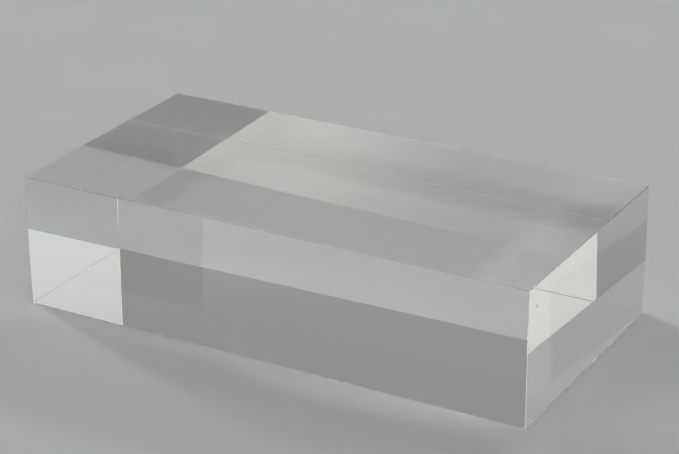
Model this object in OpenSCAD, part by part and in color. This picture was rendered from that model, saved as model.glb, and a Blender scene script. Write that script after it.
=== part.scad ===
// Display block: one solid cuboid of clear cast acrylic, polished on all six faces.
// It is cut from a single sheet, so it is one piece with no joint, insert or fastener.
// Millimetres. The origin is the centre of the bottom face, +X runs along the length and +Z is up.

/* [Block] */
// Length, from the left end to the right end
block_length = 200; // [60:1:400]
// Depth, from the front face to the back face
block_depth = 100; // [30:1:300]
// Height, which is the thickness of the sheet that the block is cut from
block_height = 50; // [10:1:100]

/* [Edges] */
// Leg of the bevel that takes the sharpness off each edge, measured along a face
edge_bevel = 0.3; // [0.1:0.05:2]

/* [Hidden] */
block_size = [block_length, block_depth, block_height];
acrylic_colour = [0.90, 0.93, 0.93];
acrylic_alpha = 0.35;

// A rectangle about the origin, with each corner cut off at 45 degrees.
module bevelled_rectangle(width, height, bevel) {
    x = width / 2;
    y = height / 2;
    polygon([
        [-x + bevel, -y], [x - bevel, -y],
        [x, -y + bevel], [x, y - bevel],
        [x - bevel, y], [-x + bevel, y],
        [-x, y - bevel], [-x, -y + bevel]
    ]);
}

// A bar about the origin whose four edges along its own length are bevelled.
module bevelled_bar(width, height, length, bevel)
    linear_extrude(height = length, center = true)
        bevelled_rectangle(width, height, bevel);

// A cuboid about the origin with all twelve edges bevelled: three bars that cross, one along each axis.
module bevelled_cuboid(size, bevel)
    intersection() {
        bevelled_bar(size.x, size.y, size.z, bevel);
        rotate([90, 0, 0]) bevelled_bar(size.x, size.z, size.y, bevel);
        rotate([0, 90, 0]) bevelled_bar(size.z, size.y, size.x, bevel);
    }

// The block, standing on its largest face.
module display_block()
    color(acrylic_colour, acrylic_alpha)
        translate([0, 0, block_height / 2])
            bevelled_cuboid(block_size, edge_bevel);

display_block();
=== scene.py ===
"""Looks of a display block: one solid cuboid of clear cast acrylic, sawn from thick sheet and polished.

Everything is in metres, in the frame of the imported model: the origin is the centre of the bottom face,
+X runs along the length, +Y from the front face to the back face, and +Z up.
"""

import math
from collections import namedtuple

import bpy
from mathutils import Matrix, Vector


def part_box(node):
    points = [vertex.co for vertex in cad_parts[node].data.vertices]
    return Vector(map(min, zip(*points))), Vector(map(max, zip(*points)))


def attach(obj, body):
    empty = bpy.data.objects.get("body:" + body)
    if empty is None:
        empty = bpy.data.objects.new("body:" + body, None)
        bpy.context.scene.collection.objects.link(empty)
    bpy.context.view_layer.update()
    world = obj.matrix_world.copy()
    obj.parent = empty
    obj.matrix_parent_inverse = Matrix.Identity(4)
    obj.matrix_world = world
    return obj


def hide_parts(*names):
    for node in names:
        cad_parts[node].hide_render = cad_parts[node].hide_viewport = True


bl_info = {
    "name": "Acrylic display block",
    "version": (1, 0, 0),
    "blender": (4, 5, 0),
    "location": "3D View > Sidebar > Display Block",
    "description": "Models a polished block of clear cast acrylic and lights it on a plain table",
    "category": "Object",
}

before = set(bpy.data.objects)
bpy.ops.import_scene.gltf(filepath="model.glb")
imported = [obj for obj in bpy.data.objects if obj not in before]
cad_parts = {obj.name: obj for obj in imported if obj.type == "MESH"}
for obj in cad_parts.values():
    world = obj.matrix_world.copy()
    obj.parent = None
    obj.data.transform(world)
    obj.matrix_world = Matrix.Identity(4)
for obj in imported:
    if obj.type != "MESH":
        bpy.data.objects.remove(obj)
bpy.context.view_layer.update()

BODY = "root"
NODE = "display_block"

MM = 0.001
LOW_CORNER, HIGH_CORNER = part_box(NODE)
BLOCK_SIZE = HIGH_CORNER - LOW_CORNER
BLOCK_CENTRE = (HIGH_CORNER + LOW_CORNER) / 2

# One speck of dust sits on the right end face, close to its front edge.
DUST_SPECK = Vector((HIGH_CORNER.x, LOW_CORNER.y + 6.5 * MM, HIGH_CORNER.z - 8 * MM))
SPECK_CORE = 0.35 * MM
SPECK_RIM = 0.6 * MM

# Sizes of the patterns in the materials.
WIPE_LENGTH = 60 * MM
WIPE_WIDTH = 15 * MM
WAVE_LENGTH = 30 * MM
CHATTER_PITCH = 2 * MM
MOTTLE_SIZE = 50 * MM
DUST_SPACING = 40 * MM
DUST_CORE = 0.25 * MM
DUST_RIM = 0.4 * MM
DUST_SHARE = 0.4  # share of the places in the scatter that hold a speck


# ---------------------------------------------------------------- small helpers


def linear(hex_colour):
    """An sRGB colour such as "C0C4C3" as linear red, green, blue and an alpha of 1."""
    channels = [int(hex_colour[i : i + 2], 16) / 255 for i in (0, 2, 4)]
    curve = [c / 12.92 if c <= 0.04045 else ((c + 0.055) / 1.055) ** 2.4 for c in channels]
    return (*curve, 1.0)


def add_node(tree, kind, settings=None, inputs=None):
    """Adds a node, sets its own properties, and gives each input a value or the output that feeds it."""
    node = tree.nodes.new(kind)
    for name, value in (settings or {}).items():
        setattr(node, name, value)
    for name, value in (inputs or {}).items():
        if isinstance(value, bpy.types.NodeSocket):
            tree.links.new(value, node.inputs[name])
        else:
            node.inputs[name].default_value = value
    return node


def new_material(name):
    """A material with an empty node tree, and its output node."""
    material = bpy.data.materials.new(name)
    material.use_nodes = True
    material.node_tree.nodes.clear()
    return material, material.node_tree.nodes.new("ShaderNodeOutputMaterial")


def deselect_all():
    """Leaves nothing selected, so that the next operator acts only on what it adds."""
    if bpy.context.object and bpy.context.object.mode != "OBJECT":
        bpy.ops.object.mode_set(mode="OBJECT")
    bpy.ops.object.select_all(action="DESELECT")


def towards(bearing, elevation):
    """The direction at a bearing, in degrees from +Y towards +X, and an elevation above the table."""
    b, e = math.radians(bearing), math.radians(elevation)
    return Vector((math.sin(b) * math.cos(e), math.cos(b) * math.cos(e), math.sin(e)))


# ---------------------------------------------------------------- settings


class BlockSettings(bpy.types.PropertyGroup):
    """Size and finish of the block."""

    length: bpy.props.FloatProperty(
        name="Length",
        description="From the left end to the right end",
        default=BLOCK_SIZE.x,
        unit="LENGTH",
    )
    depth: bpy.props.FloatProperty(
        name="Depth",
        description="From the front face to the back face",
        default=BLOCK_SIZE.y,
        unit="LENGTH",
    )
    height: bpy.props.FloatProperty(
        name="Height",
        description="Thickness of the sheet that the block is sawn from",
        default=BLOCK_SIZE.z,
        unit="LENGTH",
    )
    arris: bpy.props.FloatProperty(
        name="Arris",
        description="How far each sharp edge is scraped back, measured along a face",
        default=0.18 * MM,
        unit="LENGTH",
    )
    refractive_index: bpy.props.FloatProperty(
        name="Refractive index",
        description="Index of cast acrylic for yellow light",
        default=1.491,
        min=1.0,
        max=2.0,
    )
    body_tint: bpy.props.FloatVectorProperty(
        name="Body tint",
        description="Colour that white light takes on deep inside the acrylic",
        default=linear("FFFEFA"),
        size=4,
        min=0.0,
        max=1.0,
        subtype="COLOR",
    )
    tint_density: bpy.props.FloatProperty(
        name="Tint density",
        description="How strongly each metre of acrylic gives the body tint",
        default=1.0,
        min=0.0,
    )
    wipe_haze: bpy.props.FloatProperty(
        name="Wipe haze",
        description="Roughness of the strongest wipe marks",
        default=0.04,
        min=0.0,
        max=0.2,
    )
    polish_waves: bpy.props.FloatProperty(
        name="Polish waves",
        description="Height of the long waves that polishing leaves on a face",
        default=0.003 * MM,
        min=0.0,
        unit="LENGTH",
        precision=6,
    )


class StudioSettings(bpy.types.PropertyGroup):
    """Table, light and camera."""

    table_size: bpy.props.FloatProperty(
        name="Table size",
        description="Side of the square table top",
        default=8.0,
        unit="LENGTH",
    )
    table_colour: bpy.props.FloatVectorProperty(
        name="Table colour",
        description="Colour of the matt table top",
        default=linear("CCCFCE"),
        size=4,
        min=0.0,
        max=1.0,
        subtype="COLOR",
    )
    air_gap: bpy.props.FloatProperty(
        name="Air gap",
        description="Thin layer of air that stays between the block and the table",
        default=0.1 * MM,
        unit="LENGTH",
    )
    light_distance: bpy.props.FloatProperty(
        name="Light distance",
        description="From the block to each soft light",
        default=8.0,
        unit="LENGTH",
    )


# ---------------------------------------------------------------- materials


def polished_cast_acrylic(settings):
    """Cast PMMA, milled square, then buffed and polished on every face.

    The eye sees a clear, heavy solid with wet-looking faces. Its faces are flat to a few microns, so the
    table and the lights stay sharp through it and only their borders waver a little. A cloth has left faint
    wipe marks, and over a long path the acrylic takes on a trace of tint.
    """
    material, output = new_material("polished_cast_acrylic")
    tree = material.node_tree
    place = add_node(tree, "ShaderNodeTexCoord").outputs["Object"]

    # Wipe marks are long soft streaks.
    streaks = add_node(
        tree,
        "ShaderNodeMapping",
        inputs={"Vector": place, "Scale": (1 / WIPE_LENGTH, 1 / WIPE_WIDTH, 1 / WIPE_WIDTH)},
    )
    wipe = add_node(
        tree,
        "ShaderNodeTexNoise",
        inputs={"Vector": streaks.outputs["Vector"], "Scale": 1.0, "Detail": 4.0, "Distortion": 0.4},
    )
    haze = add_node(
        tree,
        "ShaderNodeMapRange",
        inputs={
            "Value": wipe.outputs["Fac"],
            "From Min": 0.55,
            "From Max": 0.8,
            "To Max": settings.wipe_haze,
        },
    )

    # Polishing leaves long waves, a few microns high.
    waves = add_node(
        tree,
        "ShaderNodeTexNoise",
        inputs={"Vector": place, "Scale": 1 / WAVE_LENGTH, "Detail": 0.0},
    )
    polish = add_node(
        tree,
        "ShaderNodeBump",
        inputs={"Height": waves.outputs["Fac"], "Strength": 1.0, "Distance": settings.polish_waves},
    )

    # The speck of dust dims what is seen through it.
    reach = add_node(tree, "ShaderNodeVectorMath", {"operation": "DISTANCE"}, {0: place, 1: DUST_SPECK})
    speck = add_node(
        tree,
        "ShaderNodeMapRange",
        inputs={
            "Value": reach.outputs["Value"],
            "From Min": SPECK_CORE,
            "From Max": SPECK_RIM,
            "To Min": 1.0,
            "To Max": 0.0,
        },
    )
    clear = add_node(
        tree,
        "ShaderNodeMixRGB",
        inputs={"Fac": speck.outputs["Result"], "Color1": linear("FFFFFF"), "Color2": linear("201E1C")},
    )
    shader = add_node(
        tree,
        "ShaderNodeBsdfPrincipled",
        inputs={
            "Base Color": clear.outputs["Color"],
            "Roughness": haze.outputs["Result"],
            "IOR": settings.refractive_index,
            "Transmission Weight": 1.0,
            "Normal": polish.outputs["Normal"],
        },
    )
    inside = add_node(
        tree,
        "ShaderNodeVolumeAbsorption",
        inputs={"Color": tuple(settings.body_tint), "Density": settings.tint_density},
    )
    tree.links.new(shader.outputs["BSDF"], output.inputs["Surface"])
    tree.links.new(inside.outputs["Volume"], output.inputs["Volume"])
    return material


def scraped_arris(settings):
    """Cast PMMA edge, scraped with a steel blade and lightly buffed.

    The narrow facet stays satin. It spreads the light that reaches it, so each edge reads as a fine line,
    and so do its mirror images deep in the block.
    """
    material, output = new_material("scraped_arris")
    tree = material.node_tree
    place = add_node(tree, "ShaderNodeTexCoord").outputs["Object"]

    # The blade chatters, so the facet is smoother and rougher by turns.
    chatter = add_node(
        tree,
        "ShaderNodeTexNoise",
        inputs={"Vector": place, "Scale": 1 / CHATTER_PITCH, "Detail": 2.0},
    )
    satin = add_node(
        tree,
        "ShaderNodeMapRange",
        inputs={
            "Value": chatter.outputs["Fac"],
            "From Min": 0.3,
            "From Max": 0.7,
            "To Min": 0.08,
            "To Max": 0.16,
        },
    )
    shader = add_node(
        tree,
        "ShaderNodeBsdfPrincipled",
        inputs={
            "Base Color": linear("FDFDFB"),
            "Roughness": satin.outputs["Result"],
            "IOR": settings.refractive_index,
            "Transmission Weight": 1.0,
        },
    )
    tree.links.new(shader.outputs["BSDF"], output.inputs["Surface"])
    return material


def matt_table_top(studio):
    """Painted board, rolled in a matt pale grey.

    The eye sees an even tone with a slight mottle from the roller, a dull sheen that changes with the
    mottle, and a few specks of dust.
    """
    material, output = new_material("matt_table_top")
    tree = material.node_tree
    place = add_node(tree, "ShaderNodeTexCoord").outputs["Object"]

    # The tooth of the paint is too fine to see, so it is left out.
    mottle = add_node(
        tree,
        "ShaderNodeTexNoise",
        inputs={"Vector": place, "Scale": 1 / MOTTLE_SIZE, "Detail": 3.0},
    )
    tone = add_node(
        tree,
        "ShaderNodeMapRange",
        inputs={
            "Value": mottle.outputs["Fac"],
            "From Min": 0.3,
            "From Max": 0.7,
            "To Min": 0.985,
            "To Max": 1.015,
        },
    )
    sheen = add_node(
        tree,
        "ShaderNodeMapRange",
        inputs={
            "Value": mottle.outputs["Fac"],
            "From Min": 0.3,
            "From Max": 0.7,
            "To Min": 0.75,
            "To Max": 0.85,
        },
    )
    mottled = add_node(
        tree,
        "ShaderNodeMixRGB",
        {"blend_type": "MULTIPLY"},
        {"Fac": 1.0, "Color1": tuple(studio.table_colour), "Color2": tone.outputs["Result"]},
    )

    # Dust lies in some places of a wide scatter. Voronoi distances are counted in cells of the scatter.
    scatter = add_node(tree, "ShaderNodeTexVoronoi", inputs={"Vector": place, "Scale": 1 / DUST_SPACING})
    specks = add_node(
        tree,
        "ShaderNodeMapRange",
        inputs={
            "Value": scatter.outputs["Distance"],
            "From Min": DUST_CORE / DUST_SPACING,
            "From Max": DUST_RIM / DUST_SPACING,
            "To Min": 0.5,
            "To Max": 0.0,
        },
    )
    chosen = add_node(tree, "ShaderNodeSeparateColor", inputs={"Color": scatter.outputs["Color"]})
    some = add_node(
        tree,
        "ShaderNodeMath",
        {"operation": "GREATER_THAN"},
        {0: chosen.outputs["Red"], 1: 1 - DUST_SHARE},
    )
    dust = add_node(
        tree,
        "ShaderNodeMath",
        {"operation": "MULTIPLY"},
        {0: specks.outputs["Result"], 1: some.outputs["Value"]},
    )
    dusty = add_node(
        tree,
        "ShaderNodeMixRGB",
        inputs={
            "Fac": dust.outputs["Value"],
            "Color1": mottled.outputs["Color"],
            "Color2": linear("F4F4F0"),
        },
    )
    shader = add_node(
        tree,
        "ShaderNodeBsdfPrincipled",
        inputs={
            "Base Color": dusty.outputs["Color"],
            "Roughness": sheen.outputs["Result"],
            "Specular IOR Level": 0.1,
        },
    )
    tree.links.new(shader.outputs["BSDF"], output.inputs["Surface"])
    return material


# ---------------------------------------------------------------- the block


class DISPLAYBLOCK_OT_block(bpy.types.Operator):
    """Models the block from a cuboid, with its arrises scraped and rounded"""

    bl_idname = "display_block.block"
    bl_label = "Block"

    def execute(self, context):
        settings = context.scene.display_block
        deselect_all()
        bpy.ops.mesh.primitive_cube_add(
            size=1.0,
            location=BLOCK_CENTRE,
            scale=(settings.length, settings.depth, settings.height),
        )
        block = context.object
        block.name = block.data.name = "polished_block"
        bpy.ops.object.transform_apply(location=True, rotation=True, scale=True)
        block.data.materials.append(polished_cast_acrylic(settings))
        block.data.materials.append(scraped_arris(settings))
        arris = block.modifiers.new("arris", "BEVEL")
        arris.width = settings.arris
        arris.segments = 3
        arris.harden_normals = True
        arris.material = 1
        bpy.ops.object.shade_smooth()
        bpy.ops.object.modifier_apply(modifier=arris.name)
        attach(block, BODY)
        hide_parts(NODE)
        return {"FINISHED"}


# ---------------------------------------------------------------- the stage

# Each light is placed as the block sees it, in degrees: the bearing and elevation of its middle, then its
# width and height.
SoftLight = namedtuple("SoftLight", "name bearing elevation width height brightness colour")
SOFT_LIGHTS = (
    SoftLight("key_window", -70, 22, 8, 8, 110.0, "FFFFFF"),
    SoftLight("key_upper", -70, 34, 8, 8, 34.0, "FFFFFF"),
    SoftLight("key_left_side", -76, 25, 8, 16, 8.5, "FFFDF6"),
    SoftLight("key_right_side", -64, 25, 8, 16, 4.6, "F8FCFF"),
    SoftLight("key_reflector", -84, 22, 10, 20, 13.0, "F0F8FF"),
    SoftLight("high_left", -60, 55, 24, 24, 0.9, "FFFFFF"),
    SoftLight("back_core", 0, 36, 8, 8, 50.0, "F8FAFF"),
    SoftLight("back_middle", 0, 32, 9, 13, 6.0, "FFFFFF"),
    SoftLight("back_window", 0, 30, 13, 24, 7.0, "FFFDF8"),
    SoftLight("back_left_wall", -27, 17, 18, 18, 0.17, "FFFFFF"),
    SoftLight("back_right_wall", 34, 29, 66, 36, 0.22, "F8FCFF"),
    SoftLight("back_right_card", 36, 22, 24, 14, 0.21, "FFFDF0"),
    SoftLight("right_wall", 97, 36, 10, 32, 3.8, "FFFFFF"),
    SoftLight("right_window", 127.5, 27, 26, 16, 4.4, "FFFFFF"),
    SoftLight("front_left_card", -144, 19, 19, 16, 1.8, "FFF9EC"),
    SoftLight("front_left_wall", -155, 24, 15, 15, 0.5, "FFFDF6"),
    SoftLight("left_wall", -131, 37, 33, 28, 0.36, "FFF8FF"),
    SoftLight("overhead", 0, 90, 32, 32, 0.35, "FFF8FC"),
)
FEATHER = 6.0  # degrees over which each light fades out at its borders

CAMERA_SIDE = (148, 22)  # bearing and elevation of the dark part of the room
ROOM_COLOUR = linear("8D8F8E")
CAMERA_SIDE_COLOUR = linear("484A4C")
SHADE_CORE = 8.0  # degrees from the middle of the dark part of the room to where it starts to fade
SHADE_RIM = 22.0  # degrees to where it ends

CAMERA_BEARING = 150.15  # degrees, as for the lights
CAMERA_ELEVATION = 23.57
CAMERA_ROLL = -0.48
CAMERA_DISTANCE = 808.35 * MM
CAMERA_AIM = BLOCK_CENTRE + Vector((-6.75, 15.13, 0.0)) * MM
LENS_LENGTH = 116.3  # millimetres, as Blender has it
SENSOR_WIDTH = 36.0  # millimetres


class DISPLAYBLOCK_OT_stage(bpy.types.Operator):
    """Lays the table, hangs the lights and sets the camera"""

    bl_idname = "display_block.stage"
    bl_label = "Stage"

    def execute(self, context):
        scene = context.scene
        studio = scene.display_block_studio
        self.lay_table(studio)
        for light in SOFT_LIGHTS:
            self.hang_light(scene, light, studio.light_distance)
        self.fill_room(scene)
        self.set_camera(scene)

        # The block passes light on through many reflections inside it, so the renderer may neither blur
        # nor cut off such light, and it is guided to where the light comes from.
        scene.cycles.max_bounces = 32
        scene.cycles.transmission_bounces = 32
        scene.cycles.glossy_bounces = 32
        scene.cycles.diffuse_bounces = 8
        scene.cycles.blur_glossy = 0.0
        scene.cycles.sample_clamp_indirect = 0.0
        scene.cycles.use_guiding = True
        scene.view_settings.view_transform = "Standard"
        return {"FINISHED"}

    def lay_table(self, studio):
        """Lays the table top under the block, a film of air below it."""
        deselect_all()
        bpy.ops.mesh.primitive_plane_add(size=studio.table_size, location=(0, 0, -studio.air_gap))
        table = bpy.context.object
        table.name = "table_top"
        bpy.ops.object.transform_apply(location=True, rotation=True, scale=True)
        table.data.materials.append(matt_table_top(studio))

    def hang_light(self, scene, light, distance):
        """Hangs a soft light that faces the block and is out of the camera's sight."""
        lamp = bpy.data.lights.new(light.name, "AREA")
        lamp.shape = "RECTANGLE"
        lamp.size = 2 * distance * math.tan(math.radians(light.width / 2))
        lamp.size_y = 2 * distance * math.tan(math.radians(light.height / 2))
        lamp.color = linear(light.colour)[:3]
        lamp.energy = light.brightness * math.pi * lamp.size * lamp.size_y
        self.feather(lamp, light)
        holder = bpy.data.objects.new(light.name, lamp)
        direction = towards(light.bearing, light.elevation)
        holder.location = BLOCK_CENTRE + distance * direction
        holder.rotation_euler = direction.to_track_quat("Z", "Y").to_euler()
        holder.visible_camera = False
        scene.collection.objects.link(holder)

    def feather(self, lamp, light):
        """Fades a light out towards its borders, so that no hard frame shows in the block."""
        lamp.use_nodes = True
        tree = lamp.node_tree
        place = add_node(tree, "ShaderNodeNewGeometry").outputs["Parametric"]
        across = add_node(tree, "ShaderNodeSeparateXYZ", inputs={"Vector": place})
        fades = []
        for axis, angle in (("X", light.width), ("Y", light.height)):
            inward = add_node(
                tree,
                "ShaderNodeMath",
                {"operation": "PINGPONG"},
                {0: across.outputs[axis], 1: 0.5},
            )
            fade = add_node(
                tree,
                "ShaderNodeMapRange",
                {"interpolation_type": "SMOOTHSTEP"},
                {"Value": inward.outputs["Value"], "From Max": min(0.5, FEATHER / angle)},
            )
            fades.append(fade.outputs["Result"])
        both = add_node(tree, "ShaderNodeMath", {"operation": "MULTIPLY"}, dict(enumerate(fades)))
        tree.links.new(both.outputs["Value"], tree.nodes["Emission"].inputs["Strength"])

    def fill_room(self, scene):
        """Makes an even pale room that is darker behind the camera."""
        room = bpy.data.worlds.new("studio_room")
        room.use_nodes = True
        tree = room.node_tree
        sight = add_node(tree, "ShaderNodeTexCoord").outputs["Object"]
        nearness = add_node(
            tree,
            "ShaderNodeVectorMath",
            {"operation": "DOT_PRODUCT"},
            {0: sight, 1: towards(*CAMERA_SIDE)},
        )
        shade = add_node(
            tree,
            "ShaderNodeMapRange",
            {"interpolation_type": "SMOOTHSTEP"},
            {
                "Value": nearness.outputs["Value"],
                "From Min": math.cos(math.radians(SHADE_RIM)),
                "From Max": math.cos(math.radians(SHADE_CORE)),
            },
        )
        walls = add_node(
            tree,
            "ShaderNodeMixRGB",
            inputs={
                "Fac": shade.outputs["Result"],
                "Color1": ROOM_COLOUR,
                "Color2": CAMERA_SIDE_COLOUR,
            },
        )
        tree.links.new(walls.outputs["Color"], tree.nodes["Background"].inputs["Color"])
        scene.world = room

    def set_camera(self, scene):
        """Sets a long lens above the right end of the front face, a little out of level."""
        lens = bpy.data.cameras.new("camera")
        lens.sensor_width = SENSOR_WIDTH
        lens.lens = LENS_LENGTH
        camera = bpy.data.objects.new("camera", lens)
        direction = towards(CAMERA_BEARING, CAMERA_ELEVATION)
        roll = Matrix.Rotation(math.radians(CAMERA_ROLL), 3, "Z")
        turned = direction.to_track_quat("Z", "Y").to_matrix() @ roll
        camera.rotation_euler = turned.to_euler()
        camera.location = CAMERA_AIM + CAMERA_DISTANCE * direction
        scene.collection.objects.link(camera)
        scene.camera = camera


class DISPLAYBLOCK_PT_panel(bpy.types.Panel):
    """Lists the operators and their settings"""

    bl_label = "Display Block"
    bl_idname = "DISPLAYBLOCK_PT_panel"
    bl_space_type = "VIEW_3D"
    bl_region_type = "UI"
    bl_category = "Display Block"

    def draw(self, context):
        scene = context.scene
        groups = (scene.display_block, scene.display_block_studio)
        for settings, operator in zip(groups, OPERATORS):
            box = self.layout.box()
            for name in type(settings).__annotations__:
                box.prop(settings, name)
            box.operator(operator.bl_idname)


OPERATORS = (DISPLAYBLOCK_OT_block, DISPLAYBLOCK_OT_stage)
CLASSES = (BlockSettings, StudioSettings, *OPERATORS, DISPLAYBLOCK_PT_panel)


def register():
    for cls in CLASSES:
        bpy.utils.register_class(cls)
    bpy.types.Scene.display_block = bpy.props.PointerProperty(type=BlockSettings)
    bpy.types.Scene.display_block_studio = bpy.props.PointerProperty(type=StudioSettings)


def unregister():
    del bpy.types.Scene.display_block_studio
    del bpy.types.Scene.display_block
    for cls in reversed(CLASSES):
        bpy.utils.unregister_class(cls)


def main():
    register()
    bpy.ops.display_block.block()
    bpy.ops.display_block.stage()


if __name__ == "__main__":
    main()
